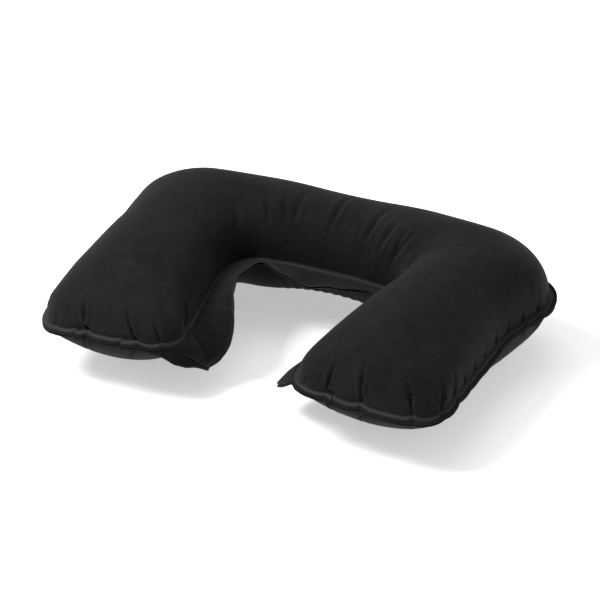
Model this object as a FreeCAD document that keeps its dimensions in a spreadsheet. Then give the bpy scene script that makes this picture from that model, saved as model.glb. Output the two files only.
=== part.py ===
import FreeCAD, Part
import Sketcher
import math
import os

# Inflatable U-shaped camp pillow. Millimetres; +Z up, arms towards -Y, floor at Z = 0.
# Two flocked sheets are welded to each other all round. The weld lies in one level plane,
# the seam plane. Outside the weld each sheet carries on as a narrow rim, and inside the neck
# opening it carries on as a wide, unfilled neck flap. The valve sits low on the back of the
# bottom sheet and points down and backwards.

doc = FreeCAD.newDocument("camp_pillow")
sheet = doc.addObject("Spreadsheet::Sheet", "dims")

DIMS = [
    ("film", 0.6),                  # sheet with its flock pile
    ("seam_height", 47.0),
    ("rim_width", 6.0),
    ("top_rise", 50.0),             # seam plane to the crest at the back corners
    ("top_rise_back", 42.0),        # the same at the middle of the back
    ("bottom_drop", 46.4),
    ("bottom_drop_back", 36.0),
    ("taper_top", 138.0),           # arm length over which each sheet climbs to full height
    ("taper_bottom", 115.0),
    ("taper_power", 2.2),
    ("arm_end_y", 111.0),           # weld outline, right half: distances from the centre
    ("arm_end_outer_x", 128.0),
    ("arm_end_inner_x", 88.0),
    ("arm_outer_x", 170.0),
    ("arm_waist_x", 167.0),
    ("arm_waist_y", 20.0),
    ("back_outer_x", 187.0),
    ("back_outer_y", 105.0),
    ("back_middle_y", 134.0),
    ("back_knee_x", 66.0),
    ("arm_outer_radius", 25.0),
    ("back_outer_radius", 43.0),
    ("arm_inner_x", 45.0),
    ("neck_side_x", 72.0),
    ("neck_side_y", 4.0),
    ("neck_corner_x", 71.0),
    ("neck_corner_y", 48.0),
    ("neck_back_y", 54.0),
    ("neck_knee_x", 26.0),
    ("arm_inner_radius", 22.0),
    ("neck_corner_radius", 24.0),
    ("flap_corner_x", 9.0),         # free edge of the neck flap, lying flat
    ("flap_corner_y", 115.0),
    ("flap_corner_radius", 28.0),
    ("flap_start", 0.68),           # share of the arm's end where the flap begins to widen
    ("flap_side_x", 43.0),
    ("flap_side_y", 4.0),
    ("flap_back_x", 43.0),
    ("flap_back_y", 24.5),
    ("flap_back_radius", 7.0),
    ("droop_left_tip", 57.0),       # degrees below level
    ("droop_left_arm", 10.0),
    ("droop_left_side", -28.0),
    ("droop_left_back", -19.0),
    ("droop_back", 0.0),
    ("droop_right_back", -16.0),
    ("droop_right_arm", 50.0),
    ("droop_right_tip", 42.0),
    ("valve_angle", 40.0),          # round the back tube, below the seam plane
    ("base_outer_r", 11.0),
    ("base_hole_r", 10.6),
    ("base_depth", 2.9),
    ("base_proud", 0.3),
    ("base_bore_r", 4.6),
    ("stem_outer_r", 4.52),
    ("stem_bore_r", 2.6),
    ("stem_length", 13.0),
    ("stem_lip_r", 6.4),
    ("stem_lip", 0.9),
    ("lip_gap", 0.15),
    ("stem_travel", 9.0),
    ("seat_bore_r", 1.9),
    ("seat_thickness", 1.4),
    ("check_r", 3.4),
    ("check_thickness", 0.5),
    ("hinge_reach", 12.0),
    ("strap_half", 1.8),
    ("strap_thickness", 0.8),
    ("cap_r", 5.2),
    ("cap_thickness", 1.3),
    ("cap_gap", 0.1),
    ("plug_top_r", 2.55),
    ("plug_end_r", 1.95),
    ("plug_length", 4.0),
]

for row, (alias, value) in enumerate(DIMS, start=1):
    sheet.set("A%d" % row, alias)
    sheet.set("B%d" % row, str(value))
    sheet.setAlias("B%d" % row, alias)
doc.recompute()


def d(alias):
    return float(sheet.get(alias))


V = FreeCAD.Vector


# ---------------------------------------------------------------- weld outline

def line_points(a, b, step=2.0):
    n = max(1, int(math.ceil((b - a).Length / step)))
    return [a + (b - a) * (k / n) for k in range(n)]


def fillet(before, corner, after, radius):
    """Points round one rounded corner, first tangent point to last."""
    into = (corner - before).normalize()
    out = (after - corner).normalize()
    turn = into.getAngle(out)
    setback = radius * math.tan(turn / 2)
    start = corner - into * setback
    side = 1.0 if into.cross(out).z > 0 else -1.0
    centre = start + V(-into.y, into.x, 0) * (side * radius)
    arm = start - centre
    points = []
    steps = 12
    for k in range(steps + 1):
        angle = side * turn * k / steps
        points.append(centre + V(arm.x * math.cos(angle) - arm.y * math.sin(angle),
                                 arm.x * math.sin(angle) + arm.y * math.cos(angle), 0))
    return points


def even(points, count):
    """The same path as count equal steps, so count + 1 points."""
    marks = [0.0]
    for a, b in zip(points, points[1:]):
        marks.append(marks[-1] + (b - a).Length)
    result = []
    j = 0
    for k in range(count + 1):
        target = marks[-1] * k / count
        while j < len(marks) - 2 and marks[j + 1] < target:
            j += 1
        span = max(marks[j + 1] - marks[j], 1e-9)
        result.append(points[j] + (points[j + 1] - points[j]) * ((target - marks[j]) / span))
    return result


CORNER_STEPS = 7
ARM_STEPS = 12
BACK_STEPS = 10


def rail(start, arm_corner, arm_radius, waist, back_corner, back_radius, knee, knee_radius, end):
    """One half of a weld line, from the arm end to the middle of the back."""
    first = fillet(start, arm_corner, waist, arm_radius)
    bend = fillet(arm_corner, waist, back_corner, 60.0)
    last = fillet(waist, back_corner, knee, back_radius)
    ease = fillet(back_corner, knee, end, knee_radius)
    half = len(last) // 2
    end_part = line_points(start, first[0]) + first
    arm_part = line_points(first[-1], bend[0]) + bend + line_points(bend[-1], last[0])
    arm_part = arm_part + last[:half + 1]
    back_part = last[half:] + line_points(last[-1], ease[0])[1:] + ease
    back_part = back_part + line_points(ease[-1], end)[1:] + [end]
    whole = even(end_part, CORNER_STEPS)
    whole = whole + even(arm_part, ARM_STEPS)[1:]
    return whole + even(back_part, BACK_STEPS)[1:]


def mirrored(half, sign_x=-1.0):
    """Left arm end to right arm end, from the right half."""
    left = [V(sign_x * p.x, p.y, p.z) for p in half]
    return left + list(reversed(half))[1:]


outer_half = rail(V(d("arm_end_outer_x"), -d("arm_end_y"), 0),
                  V(d("arm_outer_x"), -d("arm_end_y"), 0), d("arm_outer_radius"),
                  V(d("arm_waist_x"), d("arm_waist_y"), 0),
                  V(d("back_outer_x"), d("back_outer_y"), 0), d("back_outer_radius"),
                  V(d("back_knee_x"), d("back_middle_y"), 0), 200.0,
                  V(0, d("back_middle_y"), 0))
inner_half = rail(V(d("arm_end_inner_x"), -d("arm_end_y") + 1.5, 0),
                  V(d("arm_inner_x"), -d("arm_end_y") + 7.0, 0), d("arm_inner_radius"),
                  V(d("neck_side_x"), d("neck_side_y"), 0),
                  V(d("neck_corner_x"), d("neck_corner_y"), 0), d("neck_corner_radius"),
                  V(d("neck_knee_x"), d("neck_back_y"), 0), 60.0,
                  V(0, d("neck_back_y"), 0))
flap_half = rail(V(d("arm_end_inner_x"), -d("arm_end_y") - d("rim_width") + 0.5, 0),
                 V(d("flap_corner_x"), -d("flap_corner_y"), 0), d("flap_corner_radius"),
                 V(d("flap_side_x"), d("flap_side_y"), 0),
                 V(d("flap_back_x"), d("flap_back_y"), 0), d("flap_back_radius"),
                 V(d("neck_knee_x") * 0.6, d("flap_back_y"), 0), 60.0,
                 V(0, d("flap_back_y"), 0))
outer_rail = mirrored(outer_half)
inner_rail = mirrored(inner_half)
flap_rail = mirrored(flap_half)
STATIONS = len(outer_rail)
MIDDLE = STATIONS // 2


def normal_at(points, i, away):
    """Level direction square to a path, on the side of the point given."""
    a = points[max(i - 1, 0)]
    b = points[min(i + 1, len(points) - 1)]
    side = V(-(b.y - a.y), b.x - a.x, 0).normalize()
    return side if (points[i] + side - away).Length > (points[i] - side - away).Length else -side


# ---------------------------------------------------------------- heights and droop

def travel(i):
    """Distance of a station from its own arm end, along the tube."""
    half = [(outer_half[k] + inner_half[k]) * 0.5 for k in range(MIDDLE + 1)]
    k = i if i <= MIDDLE else STATIONS - 1 - i
    return sum((half[j + 1] - half[j]).Length for j in range(k))


def climb(i, full, taper):
    """Quarter of a superellipse: steep at the arm's end, level at the end of the taper."""
    share = min(1.0, travel(i) / taper)
    power = d("taper_power")
    return full * (1 - (1 - share) ** power) ** (1 / power)


def rise(i, full, at_back, taper):
    """Height of the tube's crest over the seam plane at one station."""
    k = i if i <= MIDDLE else STATIONS - 1 - i
    corner = CORNER_STEPS + ARM_STEPS
    if k <= corner:
        return climb(k, full, taper)
    blend = 0.5 - 0.5 * math.cos(math.pi * (k - corner) / BACK_STEPS)
    return climb(k, full, taper) * (1 - blend) + at_back * blend


def droop(i):
    """Angle of the neck flap below level at one station, in degrees."""
    end = STATIONS - 1
    corner = CORNER_STEPS + ARM_STEPS
    marks = [(0, 0.0), (CORNER_STEPS, d("droop_left_tip")),
             (CORNER_STEPS + 0.25 * ARM_STEPS, d("droop_left_arm")),
             (CORNER_STEPS + 0.55 * ARM_STEPS, d("droop_left_side")),
             (corner, d("droop_left_back")), (MIDDLE, d("droop_back")),
             (end - corner, d("droop_right_back")),
             (end - CORNER_STEPS - 0.6 * ARM_STEPS, d("droop_right_arm")),
             (end - CORNER_STEPS, d("droop_right_tip")), (end, 0.0)]
    for (a, va), (b, vb) in zip(marks, marks[1:]):
        if a <= i <= b:
            f = 0.5 - 0.5 * math.cos(math.pi * (i - a) / (b - a))
            return va + (vb - va) * f
    return 0.0


def flap_reach(i):
    """From the neck weld to the free edge, lying flat; across an arm's end it's only a rim."""
    way = flap_rail[i] - inner_rail[i]
    k = min(i, STATIONS - 1 - i) / CORNER_STEPS
    widen = min(1.0, max(0.0, (k - d("flap_start")) / (1.0 - d("flap_start"))))
    rim = d("rim_width")
    return way * ((rim + (way.Length - rim) * widen) / way.Length)


# ---------------------------------------------------------------- curved sheets

def surface(rows):
    """Smooth face through a net of control points (cubic where there are enough)."""
    nu = len(rows)
    nv = len(rows[0])
    du = min(3, nu - 1)
    dv = min(3, nv - 1)
    ku = [du + 1] + [1] * (nu - du - 1) + [du + 1]
    kv = [dv + 1] + [1] * (nv - dv - 1) + [dv + 1]
    net = Part.BSplineSurface()
    net.buildFromPolesMultsKnots(rows, ku, kv, [float(k) for k in range(len(ku))],
                                 [float(k) for k in range(len(kv))], False, False, du, dv)
    return net.toShape()


ARCH_SPAN = [-1.0, -1.0, -0.52, 0.52, 1.0, 1.0]
ARCH_RISE = [0.0, 0.46, 1.023, 1.023, 0.46, 0.0]


def sheet_net(sign, crest, inset):
    """Control rows of one face of a sheet: rim strip, tube, neck flap and the two arm ends.

    sign is +1 for the top sheet and -1 for the bottom one. inset is 0 for the face on the
    outside of the pillow and the film's thickness for the face on the air side.
    """
    film = d("film")
    base = d("seam_height") + sign * (film - inset)
    rims = []
    tube = []
    flaps = []
    for i in range(STATIONS):
        out = outer_rail[i]
        inn = inner_rail[i]
        across = inn - out
        half = across.Length / 2
        middle = (out + inn) * 0.5
        arm = across * 0.5 * ((half - inset) / half)
        if i in (0, STATIONS - 1):
            middle = middle + V(0, inset, 0)
            arm = across * 0.5
        height = max(0.0, crest(i) - inset) if i not in (0, STATIONS - 1) else 0.0
        row = []
        for span, lift in zip(ARCH_SPAN, ARCH_RISE):
            p = middle + arm * span
            row.append(V(p.x, p.y, base + sign * height * lift))
        tube.append(row)
        away = normal_at(outer_rail, i, V(0, 0, 0)) if i not in (0, STATIONS - 1) else V(0, -1, 0)
        edge = out + away * d("rim_width")
        rims.append([V(edge.x, edge.y, base), row[0]])
        weld = V(row[-1].x, row[-1].y, 0)
        way = flap_reach(i)
        tilt = math.radians(droop(i))
        reach = way.Length
        near = weld + way * 0.4
        far = weld + way * math.cos(tilt)
        drop = reach * math.sin(tilt)
        flaps.append([row[-1], V(near.x, near.y, base - 0.25 * drop),
                      V(far.x, far.y, base - drop)])
    ends = []
    for i in (0, STATIONS - 1):
        strip = [list(tube[i])]
        a = rims[i][0]
        b = flaps[i][-1]
        last = len(ARCH_SPAN) - 1
        strip.append([a + (b - a) * (k / last) for k in range(last + 1)])
        ends.append(strip)
    return rims, tube, flaps, ends


def ruled(a, b):
    return surface([list(a), list(b)])


def sheet_solid(sign, crest):
    """One flocked sheet as a thin closed solid."""
    nets = [sheet_net(sign, crest, 0.0), sheet_net(sign, crest, d("film"))]
    faces = []
    for rims, tube, flaps, ends in nets:
        faces.append(surface(rims))
        faces.append(surface(tube))
        faces.append(surface(flaps))
        for strip in ends:
            faces.append(surface(strip))
    (rim_a, _, flap_a, end_a), (rim_b, _, flap_b, end_b) = nets
    faces.append(ruled([r[0] for r in rim_a], [r[0] for r in rim_b]))
    faces.append(ruled([r[-1] for r in flap_a], [r[-1] for r in flap_b]))
    for strip_a, strip_b in zip(end_a, end_b):
        faces.append(ruled(strip_a[1], strip_b[1]))
    shell = Part.makeShell(faces)
    shell.sewShape(0.02)
    solid = Part.Solid(shell.Shells[0])
    if solid.Volume < 0:
        solid.reverse()
    return solid


def top_crest(i):
    return rise(i, d("top_rise"), d("top_rise_back"), d("taper_top"))


def bottom_crest(i):
    return rise(i, d("bottom_drop"), d("bottom_drop_back"), d("taper_bottom"))


top_shape = sheet_solid(1, top_crest)
bottom_shape = sheet_solid(-1, bottom_crest)

# The part's frame: origin under the middle of the box round the whole pillow.
box = top_shape.optimalBoundingBox(False, False)
box.add(bottom_shape.optimalBoundingBox(False, False))
shift = V(0, -(box.YMin + box.YMax) / 2, -box.ZMin)


def valve_site():
    """Point on the outside of the bottom sheet, low on the back tube, and the way out of it."""
    middle = (outer_rail[MIDDLE] + inner_rail[MIDDLE]) * 0.5
    centre = V(0, middle.y, d("seam_height"))
    angle = math.radians(d("valve_angle"))
    ray = Part.makeLine(centre, centre + V(0, math.cos(angle), -math.sin(angle)) * 80.0)
    hits = bottom_shape.common(ray)
    point = max((v.Point for v in hits.Vertexes), key=lambda q: (q - centre).Length)
    face = min(bottom_shape.Faces, key=lambda f: f.distToShape(Part.Vertex(point))[0])
    u, v = face.Surface.parameter(point)
    out = face.normalAt(u, v)
    out = V(0, out.y, out.z).normalize()
    if out.y < 0:
        out = -out
    return point, out


site, outward = valve_site()
turn = FreeCAD.Rotation(V(0, 0, 1), outward)
valve_place = FreeCAD.Placement(site + shift, turn)

# ---------------------------------------------------------------- the two sheets

top_panel = doc.addObject("Part::Feature", "TopPanel")
top_panel.Label = "top_panel"
top_panel.Shape = top_shape
top_panel.Placement = FreeCAD.Placement(shift, FreeCAD.Rotation())

bottom_blank = doc.addObject("Part::Feature", "BottomBlank")
bottom_blank.Label = "bottom_sheet_before_hole"
bottom_blank.Shape = bottom_shape
bottom_blank.Placement = FreeCAD.Placement(shift, FreeCAD.Rotation())

valve_hole = doc.addObject("Part::Cylinder", "ValveHole")
valve_hole.setExpression("Radius", "dims.base_hole_r")
valve_hole.setExpression("Height", "dims.base_depth * 4")
valve_hole.Placement = FreeCAD.Placement(site + shift - outward * (d("base_depth") * 2), turn)

bottom_panel = doc.addObject("Part::Cut", "BottomPanel")
bottom_panel.Label = "bottom_panel"
bottom_panel.Base = bottom_blank
bottom_panel.Tool = valve_hole


# ---------------------------------------------------------------- valve, about its own axis

def plane_of(body, role):
    for feature in body.Origin.OriginFeatures:
        if feature.Role == role:
            return feature
    raise RuntimeError("no plane " + role)


def polygon(body, name, role, corners, offset=None):
    """Closed sketch; each corner is a pair of expressions in the sheet's names."""
    sketch = body.newObject("Sketcher::SketchObject", name)
    sketch.AttachmentSupport = [(plane_of(body, role), "")]
    sketch.MapMode = "FlatFace"
    if offset:
        sketch.setExpression("AttachmentOffset.Base.z", offset)
    points = [V(value_of(x), value_of(y), 0) for x, y in corners]
    n = len(points)
    for k in range(n):
        sketch.addGeometry(Part.LineSegment(points[k], points[(k + 1) % n]), False)
    for k in range(n):
        sketch.addConstraint(Sketcher.Constraint("Coincident", k, 2, (k + 1) % n, 1))
    for k, (x, y) in enumerate(corners):
        for kind, axis, text in (("DistanceX", -2, x), ("DistanceY", -1, y)):
            value = value_of(text)
            if abs(value) < 1e-9:
                sketch.addConstraint(Sketcher.Constraint("PointOnObject", k, 1, axis))
            else:
                index = sketch.addConstraint(Sketcher.Constraint(kind, -1, 1, k, 1, value))
                sketch.setExpression("Constraints[%d]" % index, text)
    return sketch


def value_of(text):
    """Number for an expression written as a sum of signed sheet names."""
    total = 0.0
    sign = 1.0
    for word in text.replace("+", " + ").replace("-", " - ").split():
        if word == "+":
            sign = 1.0
        elif word == "-":
            sign = -1.0
        else:
            number = d(word[5:]) if word.startswith("dims.") else float(word)
            total += sign * number
            sign = 1.0
    return total


def new_body(name, label):
    body = doc.addObject("PartDesign::Body", name)
    body.Label = label
    return body


def turned(body, name, corners):
    """Ring or plug made by turning a profile (radius, height) about the valve's axis."""
    sketch = polygon(body, name + "Profile", "XZ_Plane", corners)
    feature = body.newObject("PartDesign::Revolution", name)
    feature.Profile = sketch
    feature.ReferenceAxis = (sketch, ["V_Axis"])
    feature.Angle = 360.0
    return feature


def plate(body, name, corners, bottom, thickness):
    """Flat plate square to the valve's axis."""
    sketch = polygon(body, name + "Outline", "XY_Plane", corners, bottom)
    feature = body.newObject("PartDesign::Pad", name)
    feature.Profile = sketch
    feature.setExpression("Length", thickness)
    return feature


MOUTH = "dims.base_proud + dims.lip_gap + dims.stem_lip"
LIP_UNDER = "dims.base_proud + dims.lip_gap"
STEM_END = MOUTH + " - dims.stem_length"
CAP_UNDER = MOUTH + " + dims.cap_gap"
STRAP_HALF = "dims.strap_half"


def make_base():
    """Soft ring welded into the hole in the bottom sheet."""
    body = new_body("ValveBase", "valve_base")
    under = "dims.base_proud - dims.base_depth"
    turned(body, "BaseRing", [("dims.base_bore_r", "dims.base_proud"),
                              ("dims.base_outer_r", "dims.base_proud"),
                              ("dims.base_outer_r", under),
                              ("dims.base_bore_r", under)])
    return body


def make_stem():
    """Tube with a lip at the mouth and a seat for the check flap at its inner end."""
    body = new_body("ValveStem", "valve_stem")
    seat_top = STEM_END + " + dims.seat_thickness"
    turned(body, "StemTube", [("dims.stem_bore_r", MOUTH),
                              ("dims.stem_lip_r", MOUTH),
                              ("dims.stem_lip_r", LIP_UNDER),
                              ("dims.stem_outer_r", LIP_UNDER),
                              ("dims.stem_outer_r", STEM_END),
                              ("dims.seat_bore_r", STEM_END),
                              ("dims.seat_bore_r", seat_top),
                              ("dims.stem_bore_r", seat_top)])
    return body


def make_check_flap():
    """Thin disc that closes the inner end of the stem."""
    body = new_body("CheckFlap", "check_flap")
    top = STEM_END + " - 0.05"
    under = top + " - dims.check_thickness"
    turned(body, "FlapDisc", [("0", top), ("dims.check_r", top), ("dims.check_r", under),
                              ("0", under)])
    return body


def make_strap():
    """Tab on the stem's lip that carries the stopper's hinge line."""
    body = new_body("StopperStrap", "stopper_strap")
    start = "- dims.hinge_reach"
    end = "- dims.stem_lip_r + 0.6"
    plate(body, "StrapTab", [(start, "- " + STRAP_HALF), (end, "- " + STRAP_HALF),
                             (end, STRAP_HALF), (start, STRAP_HALF)],
          MOUTH + " - dims.strap_thickness", "dims.strap_thickness")
    return body


def make_stopper():
    """Cap with a tapered plug and the moving half of the strap."""
    body = new_body("Stopper", "stopper")
    cap_top = CAP_UNDER + " + dims.cap_thickness"
    plug_end = MOUTH + " - dims.plug_length"
    turned(body, "CapAndPlug", [("0", cap_top), ("dims.cap_r", cap_top),
                                ("dims.cap_r", CAP_UNDER), ("dims.plug_top_r", CAP_UNDER),
                                ("dims.plug_end_r", plug_end), ("0", plug_end)])
    start = "- dims.hinge_reach"
    end = "- dims.cap_r + 0.6"
    plate(body, "StopperArm", [(start, "- " + STRAP_HALF), (end, "- " + STRAP_HALF),
                               (end, STRAP_HALF), (start, STRAP_HALF)],
          CAP_UNDER, "dims.strap_thickness")
    return body


valve_parts = [make_base(), make_stem(), make_check_flap(), make_strap(), make_stopper()]
doc.recompute()
for body in valve_parts:
    body.Placement = valve_place
doc.recompute()

# ---------------------------------------------------------------- checks and files

for item in doc.Objects:
    for state in item.State:
        if state in ("Invalid", "Error"):
            raise RuntimeError("%s is %s" % (item.Label, state))

NODES = [top_panel, bottom_panel] + valve_parts
blank_volume = bottom_blank.Shape.Volume
if not bottom_panel.Shape.Volume < blank_volume:
    raise RuntimeError("the valve hole cut nothing")

os.makedirs("parts", exist_ok=True)
for node in NODES:
    shape = node.Shape
    if shape.isNull() or not shape.isValid() or not shape.Solids:
        raise RuntimeError("bad shape: " + node.Label)
for node in NODES:
    node.Shape.exportStep("parts/%s.step" % node.Label)
    bb = node.Shape.BoundBox
    print("%-14s volume %9.1f mm3, x %.1f..%.1f, y %.1f..%.1f, z %.1f..%.1f" % (
        node.Label, node.Shape.Volume, bb.XMin, bb.XMax, bb.YMin, bb.YMax, bb.ZMin, bb.ZMax))
print("valve at", [round(c, 2) for c in site + shift], "pointing", [round(c, 4) for c in outward])
print("shift", [round(c, 3) for c in shift])
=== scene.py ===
# %% [markdown]
# # Inflatable camp pillow
# The pillow is two flocked PVC sheets, welded to each other all round and blown up. The welded
# line lies in one level plane. Above and below it the sheets bulge into a U-shaped tube, outside
# it they end in a narrow double rim, and inside the neck gap they carry on as a wide loose flap.
# All lengths in this file are millimetres until a mesh is made, and then metres.

# %% Load the frame
import math

import bmesh
import bpy
import numpy as np
from mathutils import Matrix, Vector


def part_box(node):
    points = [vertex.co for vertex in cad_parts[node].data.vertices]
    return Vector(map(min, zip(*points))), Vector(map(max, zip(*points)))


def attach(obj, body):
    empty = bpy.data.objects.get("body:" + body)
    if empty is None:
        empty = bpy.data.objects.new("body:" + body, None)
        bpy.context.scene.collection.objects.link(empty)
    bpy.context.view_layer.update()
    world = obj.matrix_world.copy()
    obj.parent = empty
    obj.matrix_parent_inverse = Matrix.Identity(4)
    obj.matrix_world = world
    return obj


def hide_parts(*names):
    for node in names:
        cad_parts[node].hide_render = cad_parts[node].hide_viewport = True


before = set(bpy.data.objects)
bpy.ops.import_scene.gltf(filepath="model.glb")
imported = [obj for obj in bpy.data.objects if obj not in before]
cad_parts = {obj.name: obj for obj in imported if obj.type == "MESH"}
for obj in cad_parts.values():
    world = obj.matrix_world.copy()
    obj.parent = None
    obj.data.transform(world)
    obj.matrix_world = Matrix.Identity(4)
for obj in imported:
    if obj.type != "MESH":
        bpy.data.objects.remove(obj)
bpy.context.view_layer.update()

# %% [markdown]
# ## Where things are
# The outline is drawn with y counted from near the middle of the pillow and z from the seam
# plane. The frame puts its origin on the floor, so two offsets carry one into the other. The first
# comes from the CAD box of the top sheet, whose back edge is the rim. The second is the depth of
# the bottom sheet, because the pillow lies on it.

# %% Main sizes
RIM = 6.0
BOTTOM_DROP = 46.4
SEAM_Z = BOTTOM_DROP
BACK_MIDDLE_Y = 134.0
Y_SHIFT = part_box("top_panel")[1].y * 1000 - (BACK_MIDDLE_Y + RIM)
print("outline moves by y = %.1f mm, seam at z = %.1f mm" % (Y_SHIFT, SEAM_Z))

# %% How fine the grids are
END_STEPS, ARM_STEPS, BACK_STEPS = 20, 60, 44
ACROSS = 44
print("stations on one half:", END_STEPS + ARM_STEPS + BACK_STEPS, "steps across:", ACROSS)

# %% [markdown]
# ## The welded outline
# A maker draws the weld as straight runs with rounded corners. One half is enough, because the
# pattern is symmetric. Each half has two rails: the outer weld and the weld round the neck. They
# get the same number of stations in each stretch, so that station by station they face each other
# across the tube. No pillow blows up quite evenly: the left arm's outer side is a few millimetres
# fuller in the middle and shorter at its end.

# %% Rounded corners and even steps
def fillet(before, corner, after, radius, steps=14):
    """Points round one rounded corner of a path."""
    before, corner, after = (np.array(p, float) for p in (before, corner, after))
    into = (corner - before) / np.linalg.norm(corner - before)
    out = (after - corner) / np.linalg.norm(after - corner)
    turn = math.acos(max(-1.0, min(1.0, float(into @ out))))
    side = 1.0 if into[0] * out[1] - into[1] * out[0] > 0 else -1.0
    start = corner - into * radius * math.tan(turn / 2)
    centre = start + side * radius * np.array([-into[1], into[0]])
    arm = start - centre
    angles = side * turn * np.linspace(0, 1, steps + 1)
    return [centre + np.array([arm[0] * math.cos(a) - arm[1] * math.sin(a),
                               arm[0] * math.sin(a) + arm[1] * math.cos(a)]) for a in angles]


def even(points, count):
    """The same path in count equal steps."""
    points = np.array(points, float)
    marks = np.concatenate([[0], np.cumsum(np.linalg.norm(np.diff(points, axis=0), axis=1))])
    at = np.linspace(0, marks[-1], count + 1)
    return np.column_stack([np.interp(at, marks, points[:, k]) for k in range(points.shape[1])])


print("a right angle of radius 20 mm:", len(fillet((0, 0), (50, 0), (50, 50), 20)), "points")


# %% One half of each rail
def rail(start, end_corner, end_radius, waist, back_corner, back_radius, knee, knee_radius, end):
    """One half of a weld line, from the arm end to the middle of the back."""
    first = fillet(start, end_corner, waist, end_radius)
    bend = fillet(end_corner, waist, back_corner, 60.0)
    last = fillet(waist, back_corner, knee, back_radius)
    ease = fillet(back_corner, knee, end, knee_radius)
    half = len(last) // 2
    parts = [even([start] + first, END_STEPS),
             even([first[-1]] + bend + last[:half + 1], ARM_STEPS)[1:],
             even(last[half:] + ease + [end], BACK_STEPS)[1:]]
    return np.vstack(parts)


outer_half = rail((128, -111), (170, -111), 25, (167, 20), (187, 105), 43,
                  (66, BACK_MIDDLE_Y), 200, (0, BACK_MIDDLE_Y))
neck_half = rail((88, -109.5), (45, -104), 22, (72, 4), (71, 48), 24,
                 (26, 54), 60, (0, 54))


print("half rails:", outer_half.shape, neck_half.shape)


# %% Whole rails
def whole(half):
    """Left arm end to right arm end."""
    return np.vstack([half * [-1, 1], half[::-1][1:]])


outer_rail = whole(outer_half)
left = outer_rail[:, 0] < -100
fuller = 3.5 * np.exp(-((outer_rail[:, 1] - 15) / 45) ** 2)
shorter = 4.0 * np.clip((-55 - outer_rail[:, 1]) / 45, 0, 1)
outer_rail[left, 0] += (shorter - fuller)[left] * np.clip((-outer_rail[left, 0] - 120) / 45, 0, 1)
neck_rail = whole(neck_half)
STATIONS = len(outer_rail)
LAST = STATIONS - 1
MIDDLE = LAST // 2
print("%d stations, outer weld %.0f mm, neck weld %.0f mm" % (
    STATIONS, np.linalg.norm(np.diff(outer_rail, axis=0), axis=1).sum(),
    np.linalg.norm(np.diff(neck_rail, axis=0), axis=1).sum()))

# %% [markdown]
# ## Puckers
# A weld can't get shorter, but blowing the pillow up draws it in. The spare length folds into
# puckers, short creases square to the weld. Each is a place on the weld, how far it runs up the
# sheet, its depth and its lean. The weld itself is nicked inwards at each one and bellies out
# between them.

# %% Pucker list
# place on the weld (x, y), run, depth, lean along the weld, half width of the groove
PUCKERS = [
    (-118, -111, 30, 3.2, -0.28, 1.5), (-76, -108, 28, 3.0, -0.15, 1.5),
    (-59, -101, 22, 2.4, 0.0, 1.5), (-54, -76, 25, 3.0, 0.6, 1.8), (-146, -110, 10, 1.0, 0.1, 1.8),
    (83, -108, 30, 3.0, -0.10, 1.5), (111, -110, 33, 3.4, -0.10, 1.6),
    (152, -111, 31, 3.3, -0.25, 1.6), (166, -95, 22, 2.6, 0.45, 1.7), (62, -105, 9, 1.0, 0.0, 1.6),
    (169, -76, 19, 2.4, 0.45, 1.7), (169, -57, 9, 1.2, 0.2, 1.9), (169, -38, 10, 1.3, 0.2, 1.9),
    (168, -18, 8, 1.1, 0.1, 1.9), (167, 4, 10, 1.4, 0.1, 2.0), (168, 24, 8, 1.1, 0.0, 2.0),
    (171, 43, 13, 1.8, 0.1, 1.9), (176, 62, 22, 2.4, 0.1, 1.9), (179, 82, 12, 1.4, 0.0, 2.2),
    (166, 113, 20, 2.0, 0.0, 2.2), (134, 121, 12, 1.3, 0.0, 2.2), (112, 126, 15, 1.6, 0.0, 2.2),
    (84, 131, 11, 1.2, 0.1, 2.2), (46, 134, 14, 1.5, 0.0, 2.2), (10, 134, 11, 1.2, 0.0, 2.2),
    (-26, 134, 14, 1.5, 0.0, 2.2), (-54, 134, 10, 1.1, 0.0, 2.2), (-90, 130, 14, 1.5, 0.0, 2.2),
    (-122, 124, 11, 1.2, 0.0, 2.2), (-152, 118, 19, 2.0, 0.0, 2.2), (-178, 92, 14, 1.7, 0.0, 2.2),
    (-177, 64, 18, 2.0, 0.0, 2.0), (-171, 40, 10, 1.3, 0.0, 2.0), (-168, 12, 8, 1.1, 0.0, 2.0),
    (-168, -16, 10, 1.3, 0.0, 2.0), (-168, -44, 8, 1.1, 0.0, 2.0), (-169, -66, 13, 1.6, 0.0, 1.9),
    (-168, -92, 19, 2.2, 0.0, 1.7),
    (69, -14, 11, 1.0, 0.0, 2.2), (72, 14, 12, 1.1, 0.1, 2.2), (-69, -10, 11, 0.3, 0.0, 2.2),
    (-72, 18, 10, 0.3, 0.0, 2.2), (-60, -44, 12, 0.4, 0.0, 2.2), (60, -44, 12, 1.2, 0.0, 2.2),
]
print(len(PUCKERS), "puckers")

# %% [markdown]
# ## The tube
# Between two facing stations the sheet arches over. The arch is a little squarer than half an
# ellipse, as a tube under pressure is between two welds. Its height climbs fast from the arm's
# end, stays full to the back corners and eases down behind the neck. The bottom sheet is
# shallower, because the pillow rests on it.

# %% Arch heights
mid_half = (outer_half + neck_half) / 2
along = np.concatenate([[0], np.cumsum(np.linalg.norm(np.diff(mid_half, axis=0), axis=1))])
CORNER = END_STEPS + ARM_STEPS


def heights(full, at_back, climb, power=2.2):
    """Height of the sheet over the seam plane at each station."""
    share = np.minimum(1, along / climb)
    rise = full * (1 - (1 - share) ** power) ** (1 / power)
    blend = np.zeros(len(along))
    blend[CORNER:] = 0.5 - 0.5 * np.cos(np.pi * np.arange(len(along) - CORNER)
                                        / (len(along) - 1 - CORNER))
    rise = rise + (at_back - rise) * blend
    return np.concatenate([rise, rise[::-1][1:]])


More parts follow.
